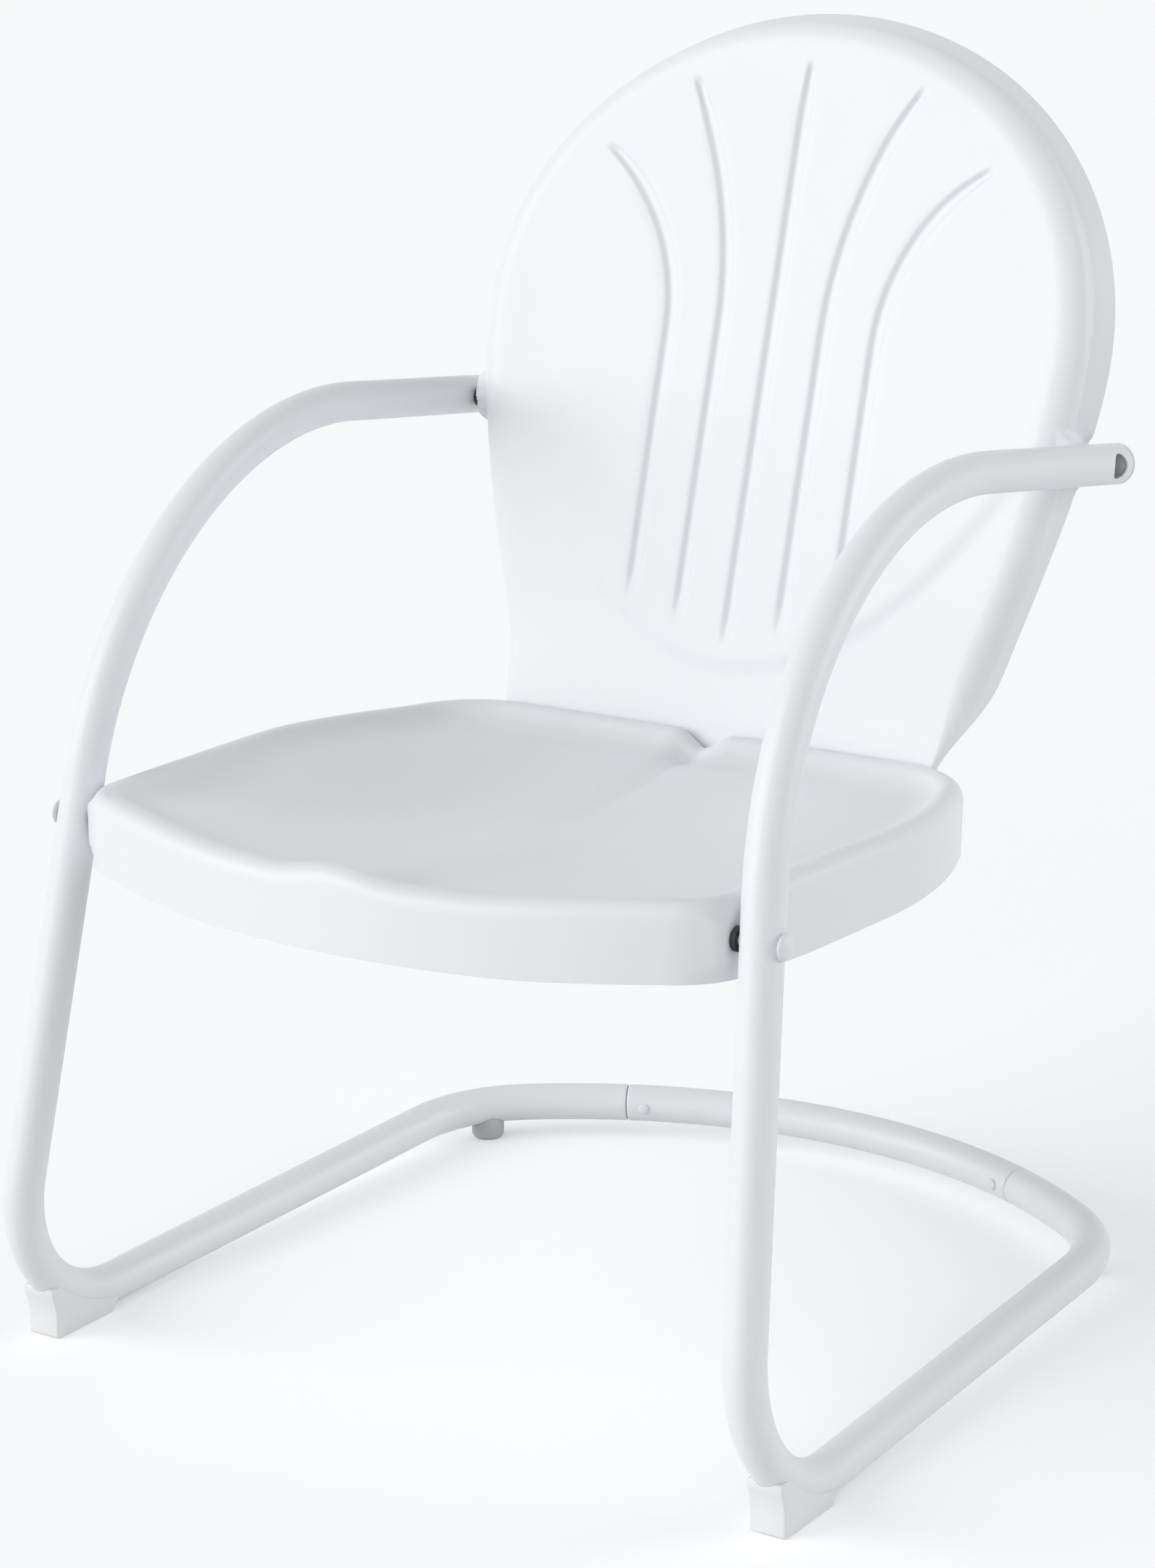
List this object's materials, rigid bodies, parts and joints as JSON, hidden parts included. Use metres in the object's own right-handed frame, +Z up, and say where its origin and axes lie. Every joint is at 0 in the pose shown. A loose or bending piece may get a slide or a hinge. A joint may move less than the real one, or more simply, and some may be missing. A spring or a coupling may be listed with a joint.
{
  "type": "metal spring lawn chair",
  "caption": "Retro lawn chair: pressed steel seat and fluted round-topped back on a springy cantilever frame of bent steel tube, with feet and arm rests.",
  "frame": {"origin": "on the floor under the middle of the whole chair", "axes": "+Z up, +Y to the rear of the chair, +X to the sitter's left"},
  "size_m": [0.6114, 0.6538, 0.8692],
  "materials": {
    "tube_paint": "satin-gloss white powder coat on bent steel tube",
    "sheet_paint": "satin-gloss white powder coat on pressed steel sheet",
    "bolt_paint": "white painted steel bolt heads",
    "white_plastic": "matte warm white moulded plastic",
    "grey_plastic": "matte pale grey moulded plastic",
    "zinc": "zinc-plated steel hardware"
  },
  "bodies": {
    "base": {"side_tube_left": "tube_paint", "side_tube_right": "tube_paint", "rear_tube": "tube_paint", "seam_screw_left": "bolt_paint", "seam_screw_right": "bolt_paint", "front_foot_left": "white_plastic", "front_foot_right": "white_plastic", "rear_glide_left": "grey_plastic", "rear_glide_right": "grey_plastic"},
    "upper": {"seat_shell": "sheet_paint", "back_shell": "sheet_paint", "seat_bolt_left": "bolt_paint", "seat_bolt_right": "bolt_paint", "seat_spacer_left": "zinc", "seat_spacer_right": "zinc", "seat_nut_left": "zinc", "seat_nut_right": "zinc", "arm_bolt_left": "zinc", "arm_bolt_right": "zinc", "arm_spacer_left": "zinc", "arm_spacer_right": "zinc", "arm_nut_left": "zinc", "arm_nut_right": "zinc", "arm_plug_left": "white_plastic", "arm_plug_right": "white_plastic", "back_bolt_1": "bolt_paint", "back_nut_1": "zinc", "back_bolt_2": "bolt_paint", "back_nut_2": "zinc", "back_bolt_3": "bolt_paint", "back_nut_3": "zinc", "back_bolt_4": "bolt_paint", "back_nut_4": "zinc"}
  },
  "joints": [
    {"name": "frame_flex", "type": "hinge", "parent": "base", "child": "upper", "pos_m": [0, -0.2339, 0.03], "axis": [-1, 0, 0], "range_deg": [-0.5, 2.5], "stiffness_Nm_per_rad": 8000, "springref_deg": -0.11, "deforming": ["side_tube_left", "side_tube_right"]}
  ]
}
